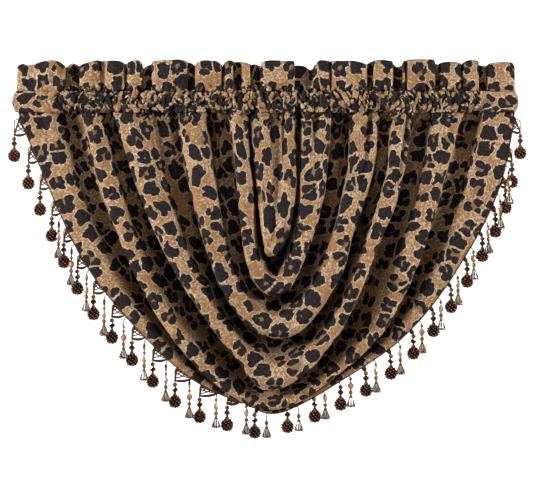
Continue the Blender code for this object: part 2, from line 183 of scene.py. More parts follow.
# The header's line along its top, left to right: x, how far forward it stands, how far its edge dips
HEADER_LINE = (
    (-611.3, 2, 17), (-605.2, 6, 13), (-595.3, 9, 11), (-585.4, 5, 14), (-570.6, 8, 12),
    (-550.9, 12, 6), (-526.3, 13, 2), (-511.5, 11, 4), (-499.2, 7, 11), (-493.7, -4, 16),
    (-492.8, -18, 17), (-484.4, -15, 11), (-474.5, -10, 8), (-465.9, -16, 11), (-459.7, -20, 14),
    (-458.2, -6, 16), (-455.8, 4, 14), (-442.5, 10, 9), (-422.7, 12, 4), (-412.9, 8, 2),
    (-404.3, -3, 3), (-398.1, -2, 3), (-390.7, 9, 4), (-375.9, 13, 3), (-356.2, 10, 5), (-347.6, 0, 9),
    (-342.6, -8, 9), (-339.9, 6, 8), (-326.6, 13, 3), (-311.8, 12, 2), (-305.4, 7, 6), (-303.4, -8, 12),
    (-302, -21, 19), (-294.6, -20, 14), (-284.7, -18, 11), (-280.8, -4, 8), (-277.3, 5, 5),
    (-255.1, 12, 2), (-230.5, 14, 1), (-205.8, 12, 1), (-196, 7, 3), (-193, -8, 4), (-191, -19, 5),
    (-182.4, -17, 8), (-175.3, -19, 13), (-173.8, -6, 13), (-170.1, 6, 9), (-154.1, 13, 3),
    (-136.8, 14, 3), (-119.6, 11, 5), (-109, 4, 12), (-106.5, -14, 15), (-102.8, 2, 11), (-92.4, 11, 3),
    (-82.6, 9, 3), (-80.1, -6, 3), (-77.6, -18, 4), (-65.3, -17, 4), (-58.9, -8, 5), (-56.4, 6, 6),
    (-48.1, 10, 8), (-39.2, 5, 10), (-36.7, -14, 12), (-32.3, -12, 11), (-23.4, -5, 11),
    (-14.5, -14, 14), (-12.1, -4, 12), (-7.6, 8, 6), (6.2, 13, 3), (30.8, 15, 3), (55.5, 14, 4),
    (68.3, 11, 4), (71.2, 3, 7), (72.2, -14, 13), (82.6, -14, 13), (97.4, -12, 16), (109.7, -17, 23),
    (115.6, -12, 22), (119.1, 0, 16), (131.9, 11, 3), (149.1, 12, 3), (157.8, 4, 4), (160.2, -4, 4),
    (165.2, 8, 3), (188.6, 14, 4), (218.2, 13, 4), (237.9, 9, 8), (249, 2, 11), (252.7, -14, 9),
    (258.8, -15, 5), (263.8, -3, 4), (269.9, 8, 2), (284.7, 12, 1), (302, 12, 3), (310.6, 8, 4),
    (314.3, -4, 7), (315.8, -18, 9), (324.1, -20, 16), (334, -18, 14), (338, -4, 8), (341.4, 6, 3),
    (346.3, -7, 2), (352.2, 6, 0), (371, 14, 0), (395.6, 14, 0), (410.4, 11, 0), (417.3, 2, 4),
    (419.3, -13, 8), (425.2, -15, 10), (429.2, -2, 9), (437.5, 9, 7), (454.8, 13, 6), (472, 10, 7),
    (480.9, 3, 9), (483.4, -13, 11), (486.8, 3, 8), (496.7, 12, 3), (511.5, 14, 2), (522.3, 10, 4),
    (525.3, -4, 8), (526.8, -17, 11), (536.1, -15, 14), (544.5, -16, 14), (546.5, -3, 13),
    (550.9, 7, 10), (573.1, 13, 7), (595.3, 12, 7), (607.6, 8, 9), (613.3, 2, 16),
)
HEADER_CUT = (0.13, 0.74)  # where in the pattern the header's strip is cut, in metres
HEADER_COLUMNS = 900
HEADER_ROWS = 19  # over its front, and as many over its back
HEADER_OPEN = 2.0  # how far each layer stands from its middle just under the top
HEADER_SWAY = 5.0  # four times how far it waves at half its height
HEADER_SWAY_PITCH = 26
HEADER_TUCK = 4.0  # of the header's seam allowance, inside the pocket's top seam
HEADER_FOOT = (54, 76)  # the drop over which the gathers of the pocket come in
HEADER_BELLY = 6.0  # how far it stands forward above the pocket
HEADER_ROUNDING = 9  # its top fold is round over a ninth of its height

# Rod pocket: a flattened tube, open at both ends
POCKET_HALF_WIDTH = 614.0
POCKET_END_SWELL = 0.014
POCKET_HALF_DEPTH = 13.0
POCKET_FULLNESS = 0.7
POCKET_CUT = (2.31, -0.42)
POCKET_COLUMNS = 1300
POCKET_TURNS = (22, 9)  # rows over its front and over its back
PUFF_OVERHANG = 1.0  # how far its puffs hang over both seams, as a share of how far they stand out
BACK_CRINKLE = (-1.5, 3.0)  # how far its back is pushed in and out
BACK_CRINKLE_PITCH = 13
POCKET_WAVE = 1.5  # its soft unevenness
POCKET_WAVE_PITCH = 60

# The crumple of the gathered cloth, from the foot of the header to the top of the panel: lumps
# scattered over x and drop, each showing another bit of the cloth
LUMP_DROPS = (70, 86, 101, 116, 131, 146)
LUMP_ENDS = 606.0
LUMP_PITCH = 10.0
LUMP_JITTER = (5.0, 6.0)  # how far one lies off its place, in x and drop
LUMP_WIDTH = (4.5, 9.5)
LUMP_HEIGHT = (8.0, 18.0)
LUMP_RISE = (8.0, 16.0)
LUMP_TILT = 0.8
LUMP_REACH = 26.0  # in x, the furthest from a lump's middle that it is felt
LUMP_POWER = 0.6  # of a lump's shape: less makes it fuller
LUMP_SHIFT = 0.014  # of the pattern, in metres
CREASE_DEPTH = 8.0  # of the creases between the lumps
CALM_ENDS = (470.0, 560.0)  # where the gathers fade out towards both ends

# Bead trim
TAPE_INSIDE = 4.5  # from the hem's edge up to the tape's upper edge
TAPE_OUTSIDE = 3.0  # from the hem's edge down to its lower edge
TAPE_BEHIND = 0.5  # between the cloth and the tape
TAPE_THICKNESS = 1.6
TAPE_COLUMNS = slice(2, -2)  # of the panel's columns, those that the tape follows
ROOT_ACROSS = 0.7  # where the threads start, from the tape's upper edge to its lower one
PAIR_SPACING = 73.4  # along the hem, one ball drop and one bell drop
PAIRS_EACH_SIDE = 14
BELL_BEYOND = 29.0  # how far a bell hangs beyond its ball
MIDDLE_BELL = (-12.0, 48.0)  # its place along the hem and its length
DROPS = (
    # side, first_ball, near, usual, far, bell_longer, bare (pairs next to the seam with no bell)
    (-1, 41, 56, 86, 95, 5, 4),
    (1, 36, 40, 61, 88, 8, 2),
)
USUAL_FROM = 260.0  # where along the hem a drop has its usual length
FAR_FROM = (680.0, 960.0)  # and where it goes over to its far one
SWING_OUT = 8.0  # how far a drop on the steep part of the hem stands off the cloth
SWING_AT_END = (15.0, 930.0, 980.0)  # the last drops swing out further, over this stretch of hem
BELL_LEAN = 17.0  # how far forward of its root a bell hangs


def at(x, depth, drop):
    """A point in metres: along the rod, forward, and below the top edge."""
    return np.stack(np.broadcast_arrays(x, -np.asarray(depth), -np.asarray(drop)), axis=-1) * MM


def ease(value, start, end):
    """0 at start and 1 at end, smooth between them."""
    t = np.clip((value - start) / (end - start), 0, 1)
    return t * t * (3 - 2 * t)


def smooth(knots, values, where):
    """A smooth curve through values at knots, read at where. Values may be numbers or points."""
    knots, values, where = (np.asarray(v, dtype=float) for v in (knots, values, where))
    lift = (...,) + (None,) * (values.ndim - 1)
    steps = np.diff(knots)[lift]
    slopes = np.diff(values, axis=0) / steps
    inner = (slopes[1:] * steps[:-1] + slopes[:-1] * steps[1:]) / (steps[1:] + steps[:-1])
    tangents = np.concatenate([slopes[:1], inner, slopes[-1:]])
    i = np.clip(np.searchsorted(knots, where, side="right") - 1, 0, len(knots) - 2)
    t = (where - knots[i])[lift] / steps[i]
    a, b = tangents[i] * steps[i], tangents[i + 1] * steps[i]
    rise = values[i + 1] - values[i]
    return values[i] + t * (a + t * (3 * rise - 2 * a - b + t * (a + b - 2 * rise)))


def wander(values, pitch, seed):
    """An uneven wave of about this pitch along values, from -1 to 1."""
    values = np.asarray(values, dtype=float)
    rng = np.random.default_rng(seed)
    start, end = values.min() - 2 * pitch, values.max() + 2 * pitch
    knots = np.arange(start, end, pitch / 2)
    knots += rng.uniform(-0.16, 0.16, len(knots)) * pitch
    heights = rng.uniform(0.45, 1.0, len(knots)) * (-1) ** np.arange(len(knots))
    return smooth(knots, heights, values.ravel()).reshape(values.shape)


def rolling(a, b, pitch, seed):
    """Soft unevenness over two directions, from about -1 to 1."""
    rng = np.random.default_rng(seed)
    total = 0
    for _ in range(7):
        turn, phase = rng.uniform(0, FULL_TURN, 2)
        length = pitch * rng.uniform(0.7, 1.6)
        total = total + np.sin((a * math.cos(turn) + b * math.sin(turn)) * FULL_TURN / length + phase)
    return total / 4


def gaps(points, axis=0):
    """The distances between neighbouring points."""
    return np.linalg.norm(np.diff(points, axis=axis), axis=-1)


def running(steps):
    """0, and then the sum of the steps so far."""
    return np.concatenate([[0], np.cumsum(steps)])


def read_points(where, knots, points):
    """Points on a path, read at where along its knots."""
    return np.stack([np.interp(where, knots, points[:, axis]) for axis in range(3)], axis=-1)


def unit(vectors):
    """The same directions with length 1."""
    return vectors / np.maximum(np.linalg.norm(vectors, axis=-1, keepdims=True), 1e-9)


# ---------------------------------------------------------------- panel
def line_points(line, turns):
    """x and drop below the seam of a line, at turns from 0 (left seam) to pi (right seam)."""
    _, drop, bottom_x, left, right = line
    side = [math.asin(level) for level in LEVELS]
    knots = side + [QUARTER_TURN] + [math.pi - turn for turn in reversed(side)]
    return smooth(knots, [*left, bottom_x, *reversed(right)], turns), drop * np.sin(turns)


def section_rows():
    """Every row of the folds, as its fold's number and its places and depths, top and low."""
    for number, fold in enumerate(FOLDS):
        section = SECTIONS.get(fold[0], SECTION)
        for across_top, across_low, depth_top, depth_low in section:
            across_low = -fold[4] if across_low is None else across_low
            yield number, across_top, across_low, depth_top, depth_low


def pleat_depth(pleats, seam_x, drop):
    """How far small pleats bring the cloth forward."""
    return sum(
        forward * np.exp(-(((seam_x - x) / half_width) ** 2) - (drop / reach) ** 2)
        for x, half_width, forward, reach in pleats
    )


def fold_rows(turns):
    """The folds' rows as x, depth and drop below the top edge, in millimetres, with their seam x."""
    lines = [line_points(line, turns) for line in LINES]
    rows, seams = [], []
    for number, across_top, across_low, depth_top, depth_low in section_rows():
        _, fullness, deepest, front, _ = FOLDS[number]
        (x0, drop0), (x1, drop1) = lines[number], lines[number + 1]
        width = np.hypot(x1 - x0, drop1 - drop0)
        if number == 0:
            width = (width + width[::-1]) / 2  # the tongue's two sides meet
        low = ease(drop1, *OVERHANG_FROM)
        across = across_top + (across_low - across_top) * low
        depth = depth_top + (depth_low - depth_top) * low
        x = x0 + (x1 - x0) * across
        drop = drop0 + (drop1 - drop0) * across
        hang = FRONT_AT_SEAM + (front - FRONT_AT_SEAM) * ease(drop, 0, BELLY_DROP)
        fold_depth = np.minimum(fullness * width, np.minimum(FOLD_AT_SEAM + FOLD_GROWTH * drop, deepest))
        fold_depth = np.minimum(fold_depth, hang + VALLEY_BACK)
        seam_x = np.where(turns < QUARTER_TURN, x[0], x[-1])
        forward = hang - fold_depth * (1 - depth)
        rows.append(np.stack([x, forward, drop + SEAM_DROP + GAP], axis=-1))
        seams.append(seam_x)
    rows = np.array(rows)
    numbers = np.array([row[0] for row in section_rows()])
    for last in np.flatnonzero(np.diff(numbers)):  # the tuck between a lip and the valley behind it
        rows[last, :, 1] = rows[last + 1, :, 1] + TUCK * (rows[last - 1, :, 1] - rows[last + 1, :, 1])
    return rows, np.array(seams)


def facing(points):
    """The direction each point of a surface faces, or for all of them its opposite."""
    return unit(np.cross(np.gradient(points, axis=0), np.gradient(points, axis=1)))


def crease_depth(x, drop):
    """How far the creases bring the cloth forward at x and drop below the top edge."""
    total = np.zeros_like(x)
    for crease_x, crease_drop, angle, half_length, half_width, forward, sag in CREASES:
        level, steep = math.cos(math.radians(angle)), math.sin(math.radians(angle))
        dx, dz = x - crease_x, crease_drop - drop
        along = (dx * level + dz * steep) / half_length
        away = (dz * level - dx * steep - sag * (along**2 - 0.5)) / half_width
        total += forward * np.exp(-(along**2) * 1.4 - away**2)
    return total


def panel_surface():
    """The panel's middle surface in millimetres, rows from the centre of the drape to the hem, the same
    without its smallest unevenness, and the shifts of its pattern in the gathers."""
    turns = np.linspace(0, math.pi, PANEL_COLUMNS)
    turns -= SEAM_CROWDING * np.sin(2 * turns)
    rows, seams = fold_rows(turns)
    knots = running(gaps(rows).mean(axis=1))
    where = np.linspace(0, knots[-1], PANEL_ROWS)
    points = smooth(knots, rows, where)
    seam_x = smooth(knots, seams, where)
    x, drop = points[..., 0], points[..., 2]
    below = drop - SEAM_DROP
    points[..., 1] += pleat_depth(PLEATS, seam_x, below) + pleat_depth(FINE_PLEATS, seam_x, below)
    plain_points = points.copy()
    lumps, shift = crumple(x, drop)
    fade = np.exp(-((below / CRUMPLE_REACH) ** 2)) * ease(below, -6, 3)
    ruffles = wander(seam_x, RUFFLE_PITCH, 4) * RUFFLE_HEIGHT
    lift = lumps * fade + ruffles * np.exp(-((below / RUFFLE_REACH) ** 2))
    for pitch, seed, height, start, end in UNEVENNESS:
        lift += rolling(x, drop, pitch, seed) * height * ease(below, start, end)
    from_hem = gaps(points)[::-1].cumsum(axis=0)[::-1]
    from_hem = np.concatenate([from_hem, np.zeros((1, PANEL_COLUMNS))])
    lift += crease_depth(x, drop) - HEM_RELIEF * np.exp(-(((from_hem - HEM_WIDTH) / HEM_GROOVE) ** 2))
    points[:, [0, -1], 2] -= SEAM_TUCK
    lift[0] = 0
    lift *= ease(np.arange(PANEL_ROWS)[:, None], 0, 5)
    normal = facing(points)
    normal *= np.sign(normal[PANEL_ROWS - 3, PANEL_COLUMNS // 2, 1])
    points = points + normal * lift[..., None]
    points[..., 1] = np.maximum(points[..., 1], -FURTHEST_BACK)
    return points, plain_points, shift * (fade * ease(below, 0, 6))[..., None]


# ---------------------------------------------------------------- meshes
def weld_ids(rows, columns):
    """Numbers of a grid's points, with the two halves of its first row made one."""
    ids = np.arange(rows * columns).reshape(rows, columns)
    half = columns // 2
    ids[0, half + 1 :] = ids[0, :half][::-1]
    return ids


def grid_mesh(name, points, uvs, ids=None):
    """A mesh of quads on a grid of points in millimetres (x, depth forward, drop), with its uvs."""
    rows, columns = points.shape[:2]
    ids = np.arange(rows * columns).reshape(rows, columns) if ids is None else ids
    corners = np.stack([ids[:-1, :-1], ids[1:, :-1], ids[1:, 1:], ids[:-1, 1:]], axis=-1).reshape(-1, 4)
    kept, corners = np.unique(corners, return_inverse=True)
    corners = corners.reshape(-1, 4)
    mesh = bpy.data.meshes.new(name)
    mesh.from_pydata(at(*points.reshape(-1, 3)[kept].T), [], corners.tolist())
    layer = mesh.uv_layers.new(name="cloth")
    layer.data.foreach_set("uv", uvs.reshape(-1, 2)[kept][corners.ravel()].astype(np.float32).ravel())
    mesh.shade_smooth()
    return mesh


def in_scene(name, data):
    """A new object, put in the scene."""
    made = bpy.data.objects.new(name, data)
    bpy.context.scene.collection.objects.link(made)
    return made


def new_piece(name, mesh, *materials):
    """An object in the scene that stays with the part's only body."""
    for material in materials:
        mesh.materials.append(material)
    piece = in_scene(name, mesh)
    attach(piece, "root")
    return piece


def thicken(piece, thickness, back=0):
    """Gives a sheet its thickness; back is the material slot of its reverse side."""
    shell = piece.modifiers.new("cloth", "SOLIDIFY")
    shell.thickness = thickness * MM
    shell.offset = 0.0
    shell.material_offset = back
    return piece


def relaxed_uvs(points):
    """Cloth coordinates in metres for every point of a grid, flattened with little stretch. Only some
    rows and columns are flattened, and the others follow them."""
    rows, columns = (
        np.unique(np.append(np.arange(0, count, FLATTEN_STEP), count - 1)) for count in points.shape[:2]
    )
    coarse = points[np.ix_(rows, columns)]
    coarse_ids = weld_ids(len(rows), len(columns))
    mesh = grid_mesh("flattening", coarse, np.zeros((*coarse.shape[:2], 2)), coarse_ids)
    piece = in_scene("flattening", mesh)
    bpy.context.view_layer.objects.active = piece
    piece.select_set(True)
    bpy.ops.object.mode_set(mode="EDIT")
    bpy.ops.mesh.select_all(action="SELECT")
    bpy.ops.uv.unwrap(method="MINIMUM_STRETCH", fill_holes=False, iterations=40, margin=0)
    bpy.ops.object.mode_set(mode="OBJECT")
    loop_uvs = np.zeros(len(mesh.loops) * 2, np.float32)
    mesh.uv_layers["cloth"].data.foreach_get("uv", loop_uvs)
    loop_points = np.zeros(len(mesh.loops), np.int32)
    mesh.loops.foreach_get("vertex_index", loop_points)
    point_uvs = np.zeros((len(mesh.vertices), 2))
    point_uvs[loop_points] = loop_uvs.reshape(-1, 2)
    quads = point_uvs[loop_points.reshape(-1, 4)]
    one, other = quads[:, 2] - quads[:, 0], quads[:, 3] - quads[:, 1]  # each quad's diagonals
    flat_area = np.abs(one[:, 0] * other[:, 1] - one[:, 1] * other[:, 0]).sum() / 2
    true_area = sum(face.area for face in mesh.polygons)
    whole = np.zeros((coarse_ids.size, 2))
    whole[np.unique(coarse_ids)] = point_uvs * math.sqrt(true_area / flat_area)
    bpy.data.objects.remove(piece)
    bpy.data.meshes.remove(mesh)
    by_row = smooth(rows, whole[coarse_ids], np.arange(points.shape[0]))
    by_column = smooth(columns, by_row.transpose(1, 0, 2), np.arange(points.shape[1]))
    return by_column.transpose(1, 0, 2)


def arc_uvs(points):
    """Cloth coordinates in metres from the lengths along a gathered grid's two directions."""
    down, across = (running(gaps(points, axis).mean(axis=1 - axis)) * MM for axis in (0, 1))
    return np.stack(np.meshgrid(across, -down), axis=-1)


# ---------------------------------------------------------------- header and pocket
def seam_depth(panel, x):
    """How far forward the seam lies at x, read from the panel's top edge."""
    top = np.concatenate([panel[::-1, 0], panel[:, -1]])
    order = np.argsort(top[:, 0])
    return np.interp(x, top[order, 0], top[order, 1])


def crumple(x, drop):
    """How far the gathered cloth stands forward at x and drop, and how its pattern is shifted."""
    rng = np.random.default_rng(21)
    x, drop = np.broadcast_arrays(x, drop)
    total, shift = np.zeros(x.shape), np.zeros((*x.shape, 2))
    for row_drop in LUMP_DROPS:
        for lump_x in np.arange(-LUMP_ENDS, LUMP_ENDS + 1, LUMP_PITCH):
            jitter = rng.uniform(-1, 1, 5)
            half_width, half_height = rng.uniform(*LUMP_WIDTH), rng.uniform(*LUMP_HEIGHT)
            rise = rng.uniform(*LUMP_RISE)
            middle_x, middle_drop = np.array([lump_x, row_drop]) + jitter[:2] * LUMP_JITTER
            near = (np.abs(x - middle_x) < LUMP_REACH) & (np.abs(drop - middle_drop) < half_height)
            away = drop[near] - middle_drop
            across = (x[near] - middle_x - jitter[2] * LUMP_TILT * away) / half_width
            inside = np.clip(1 - across**2 - (away / half_height) ** 2, 0, None)
            height = rise * inside**LUMP_POWER
            higher = height > total[near]
            total[near] = np.where(higher, height, total[near])
            shift[near] = np.where(higher[:, None], jitter[3:] * LUMP_SHIFT, shift[near])
    calm = ease(CALM_ENDS[1] - np.abs(x), 0, CALM_ENDS[1] - CALM_ENDS[0])
    return (total - CREASE_DEPTH) * calm, shift * calm[..., None]


def header_surface():
    """The header's cloth: up its front from the pocket, over the top fold and down its back."""
    line = np.array(HEADER_LINE, dtype=float)
    along = running(gaps(line[:, :2]))
    x, forward, dip = smooth(along, line, np.linspace(0, along[-1], HEADER_COLUMNS)).T
    dip = np.clip(dip, 0, None)
    sway = wander(x, HEADER_SWAY_PITCH, 23) * HEADER_SWAY
    foot_drop = HEADER_HEIGHT + HEADER_TUCK
    shares = np.linspace(1, 0, HEADER_ROWS)
    rows, shifts = [], []
    for side, share in [(1, share) for share in shares[:-1]] + [(-1, share) for share in shares[::-1]]:
        drop = dip + (foot_drop - dip) * share
        rise = 1 - share
        rounding = math.sqrt(1 - max(0.0, 1 - share * HEADER_ROUNDING) ** 2)
        open_by = HEADER_OPEN * rounding * (0.45 + 0.55 * rise)
        lean = np.where(forward > 0, forward * ease(rise, -0.25, 0.5), forward * (0.65 + 0.35 * rise))
        lean += sway * share * rise
        lumps, shift = crumple(x, drop)
        foot = ease(drop, *HEADER_FOOT)
        belly = HEADER_BELLY * share**3 * ease(foot_drop - drop, 0, 6)
        rows.append(np.stack([x, lean + lumps * foot + belly + side * open_by, drop], axis=-1))
        shifts.append(shift * foot[:, None])
    return np.array(rows), np.array(shifts)


def pocket_surface(panel):
    """The rod pocket's cloth, once round from its lower seam."""
    x = np.linspace(-POCKET_HALF_WIDTH, POCKET_HALF_WIDTH, POCKET_COLUMNS)
    seam = seam_depth(panel, x)
    top, bottom = HEADER_HEIGHT + CLOTH / 2, SEAM_DROP - CLOTH / 2
    pushed = (wander(x, BACK_CRINKLE_PITCH, 31) + 1) / 2
    back = BACK_CRINKLE[0] + (BACK_CRINKLE[1] - BACK_CRINKLE[0]) * pushed
    turns = np.append(
        np.linspace(-QUARTER_TURN, QUARTER_TURN, POCKET_TURNS[0], endpoint=False),
        np.linspace(QUARTER_TURN, 3 * QUARTER_TURN, POCKET_TURNS[1] + 1),
    )
    rows, shifts = [], []
    for turn in turns:
        up = (1 + math.sin(turn)) / 2
        in_front = math.cos(turn) > 0
        bow = abs(math.cos(turn)) ** POCKET_FULLNESS
        drop = bottom + (top - bottom) * up
        lumps, shift = crumple(x, drop)
        swell = math.copysign(POCKET_HALF_DEPTH, math.cos(turn)) * bow
        crinkle = lumps * bow**0.3 if in_front else -back * bow
        wave = rolling(x, drop, POCKET_WAVE_PITCH, 44) * POCKET_WAVE * bow
        depth = swell + crinkle + seam * (1 - up) ** 5 + wave
        wide = x * (1 + POCKET_END_SWELL * math.cos(turn) ** 2)
        bulge = PUFF_OVERHANG * lumps * bow * ((1 - up) ** 3 - up**3) if in_front else 0 * x
        rows.append(np.stack([wide, depth, drop + bulge], axis=-1))
        shifts.append(shift * in_front)
    return np.array(rows), np.array(shifts)


# ---------------------------------------------------------------- materials
class Term:
    """A node's output that can stand in a sum like a number."""

    def __init__(self, graph, socket):
        self.graph, self.socket = graph, socket

    def __add__(self, other):
        return self.graph.math("ADD", self, other)

    def __sub__(self, other):
        return self.graph.math("SUBTRACT", self, other)

    def __rsub__(self, other):
        return self.graph.math("SUBTRACT", other, self)

    def __mul__(self, other):
        return self.graph.math("MULTIPLY", self, other)

    def __pow__(self, other):
        return self.graph.math("POWER", self, other)

    __radd__, __rmul__ = __add__, __mul__


class Graph:
    """One material's nodes."""

    def __init__(self, name, **shader):
        self.material = bpy.data.materials.new(name)
        self.material.use_nodes = True
        self.tree = self.material.node_tree
        self.shader = self.tree.nodes["Principled BSDF"]
        for key, value in shader.items():
            self.put(self.shader.inputs[key.replace("_", " ")], value)

    def put(self, socket, value):
        """Links a term to an input, or sets a plain value on it."""
        if isinstance(value, Term):
            self.tree.links.new(value.socket, socket)
        elif socket.type == "RGBA" and len(value) == 3:
            socket.default_value = (*value, 1)
        else:
            socket.default_value = value

    def node(self, kind, settings, inputs):
        """Any node: its type, its settings, then its inputs. Returns its outputs by name."""
        made = self.tree.nodes.new("ShaderNode" + kind)
        for key, value in settings.items():
            setattr(made, key, value)
        for key, value in inputs.items():
            self.put(made.inputs[key], value)
        return {socket.name: Term(self, socket) for socket in made.outputs if socket.enabled}

    def math(self, operation, *values):
        return self.node("Math", {"operation": operation}, dict(enumerate(values)))["Value"]

    def step(self, value, low, high):
        """0 below low and 1 above high, smooth between them."""
        inputs = {"Value": value, "From Min": low, "From Max": high}
        return self.node("MapRange", {"interpolation_type": "SMOOTHSTEP"}, inputs)["Result"]

    def mix(self, share, a, b):
        """Colour a where share is 0 and b where it is 1."""
        return self.node("Mix", {"data_type": "RGBA"}, {0: share, 6: a, 7: b})["Result"]

    def vector(self, operation, *values):
        return self.node("VectorMath", {"operation": operation}, dict(enumerate(values)))["Vector"]

    def parts(self, vector):
        """A vector's x, y and z."""
        return list(self.node("SeparateXYZ", {}, {0: vector}).values())

    def noise(self, place, scale, detail):
        inputs = {"Vector": place, "Scale": scale, "Detail": detail}
        return self.node("TexNoise", {"noise_dimensions": "2D"}, inputs)

    def grain(self, uv, to_the_metre, detail):
        """Fine noise with so many grains to the metre, across and along the cloth."""
        return self.noise(self.vector("MULTIPLY", uv, (*to_the_metre, 1)), 1.0, detail)["Fac"]

    def random(self, place):
        """Three numbers from 0 to 1 that stay the same for one place."""
        colour = self.node("TexWhiteNoise", {"noise_dimensions": "3D"}, {"Vector": place})["Color"]
        return self.parts(colour)

    def bump(self, height, distance, strength):
        inputs = {"Height": height, "Distance": distance, "Strength": strength}
        self.put(self.shader.inputs["Normal"], self.node("Bump", {}, inputs)["Normal"])


SPOT_PITCH = 0.0475  # metres
SPOT_GAP = 0.050  # of the pitch, from the edge of a spot's cell
SPOT_SPREAD = 0.48  # how unevenly the spots are scattered
LOBES = 5
SPOT_BENDS = ((0.9, 0.36), (2.6, 0.16))  # what pulls the spots out of shape: scale and reach
WEAVE = (420, 900)  # grains to the metre, across and along the cloth
FLECKS = (150, 210)
MOTTLE = (90, 120)
WEAVE_HEIGHT = 0.0009  # metres


def cell_pattern(graph, place, feature):
    """A scatter of cells over the cloth, one to a spot."""
    settings = {"voronoi_dimensions": "2D", "feature": feature}
    inputs = {"Vector": place, "Scale": 1.0, "Randomness": SPOT_SPREAD}
    return graph.node("TexVoronoi", settings, inputs)


def spot_distance(graph, place):
    """Distance from the edge of the spots, negative inside them, and from the hollows in them."""
    cells = cell_pattern(graph, place, "F1")
    edges = cell_pattern(graph, place, "DISTANCE_TO_EDGE")["Distance"]
    off_x, off_y, _ = graph.parts(graph.vector("SUBTRACT", place, cells["Position"]))
    spin, filled, size = graph.random(cells["Position"])
    middle = (off_x * off_x + off_y * off_y) ** 0.5
    hollow = graph.step(filled, 0.42, 0.43)
    reach = size * 0.05 + 0.228 + hollow * 0.037
    shape = middle - (1 - hollow) * 0.26
    for lobe in range(LOBES):
        shifted = graph.vector("ADD", cells["Position"], (7.3 * lobe + 3.1, 2.9, 1.7))
        turn, width, missing = graph.random(shifted)
        turn = turn * 0.8 + spin * FULL_TURN + lobe * FULL_TURN / LOBES
        radius = width * 0.06 + 0.194 - hollow * 0.022 - graph.step(missing, 0.88, 0.89) * 0.3
        lobe_x = off_x - graph.math("COSINE", turn) * reach
        lobe_y = off_y - graph.math("SINE", turn) * reach
        shape = graph.math("SMOOTH_MIN", shape, (lobe_x * lobe_x + lobe_y * lobe_y) ** 0.5 - radius, 0.04)
    return graph.math("SMOOTH_MAX", shape, SPOT_GAP - edges, 0.07), middle - reach * 0.85


def jacquard(name, spot, hollow, ground, bright, deep, outline):
    """Woven leopard cloth: spots with lobed edges, many with a hollow, on a mottled ground."""
    graph = Graph(name, Roughness=0.9, Specular_IOR_Level=0.08)
    uv = graph.node("UVMap", {"uv_map": "cloth"}, {})["UV"]
    place = graph.vector("MULTIPLY", uv, (1 / SPOT_PITCH,) * 3)
    bent = place
    for scale, reach in SPOT_BENDS:
        ragged = graph.vector("SUBTRACT", graph.noise(place, scale, 0.5)["Color"], (0.5, 0.5, 0.5))
        bent = graph.vector("MULTIPLY_ADD", ragged, (reach, reach, 0.0), bent)
    shape, bite = spot_distance(graph, bent)
    scallops = graph.noise(place, 6.5, 0.5)["Fac"]
    lobes = graph.noise(place, 3.4, 0.0)["Fac"]
    patches = graph.noise(place, 0.9, 2.0)["Fac"]
    threads = graph.grain(uv, WEAVE, 2.0)
    flecks = graph.grain(uv, FLECKS, 1.5)
    mottle = graph.grain(uv, MOTTLE, 3.0)
    shape = shape + (lobes - 0.5) * 0.06 + (scallops - 0.5) * 0.07 + (threads - 0.5) * 0.03
    inside = 1 - graph.step(shape, -0.012, 0.012)
    cloth = graph.mix(graph.step(mottle * 0.4 + flecks * 0.6, 0.44, 0.57), ground, bright)
    cloth = graph.mix(graph.step(patches * 0.35 + mottle * 0.65, 0.47, 0.58) * 0.8, cloth, deep)
    hollow_here = (1 - graph.step(bite, 0.0, 0.03)) * graph.step(shape, 0.0, 0.02)
    cloth = graph.mix(hollow_here * 0.85, cloth, hollow)
    rim = (1 - graph.step(shape, 0.02, 0.08)) * graph.step(flecks, 0.32, 0.54)
    cloth = graph.mix(rim * graph.step(bite, 0.0, 0.04) * 0.6, cloth, outline)
    worn = graph.step(threads * 0.5 + flecks * 0.5, 0.4, 0.6)
    colour = graph.mix(inside, cloth, graph.mix(worn, spot, [value * 2.0 for value in spot]))
    shade = threads + 0.5
    grey = graph.node("CombineXYZ", {}, {0: shade, 1: shade, 2: shade})["Vector"]
    multiply = {"data_type": "RGBA", "blend_type": "MULTIPLY"}
    colour = graph.node("Mix", multiply, {0: 1.0, 6: colour, 7: grey})["Result"]
    graph.put(graph.shader.inputs["Base Color"], colour)
    graph.bump(threads * 0.5 - inside * 0.5 + mottle * 0.4, WEAVE_HEIGHT, 0.8)
    return graph.material


def plain(name, colour, roughness, **shader):
    return Graph(name, Base_Color=colour, Roughness=roughness, **shader).material


FRONT = jacquard(
    "leopard_jacquard",
    spot=(0.0140, 0.0118, 0.0125),
    hollow=(0.118, 0.078, 0.044),
    ground=(0.152, 0.098, 0.056),
    bright=(0.250, 0.193, 0.138),
    deep=(0.145, 0.078, 0.036),
    outline=(0.310, 0.256, 0.195),
)
BACK = jacquard(
    "jacquard_reverse",
    spot=(0.110, 0.072, 0.038),
    hollow=(0.030, 0.022, 0.018),
    ground=(0.024, 0.019, 0.018),
    bright=(0.038, 0.029, 0.024),
    deep=(0.018, 0.013, 0.012),
    outline=(0.080, 0.055, 0.030),
)
COPPER_SHINE = (0.90, 0.55, 0.32)
BRAID = plain("brown_braid", (0.060, 0.032, 0.017), 0.8)
THREAD = plain("brown_thread", (0.045, 0.024, 0.013), 0.8, Specular_IOR_Level=0.2)
BRONZE = plain("bronze_seed_beads", (0.036, 0.016, 0.008), 0.35, Specular_Tint=COPPER_SHINE)
CORE = plain("ball_core", (0.008, 0.004, 0.003), 0.8, Specular_IOR_Level=0.1)
SMOKE = plain("smoke_faceted_beads", (0.030, 0.022, 0.018), 0.10, Specular_IOR_Level=1.0, Coat_Weight=0.5)
GOLD = plain("golden_brown_beads", (0.075, 0.040, 0.020), 0.35, Specular_Tint=COPPER_SHINE)
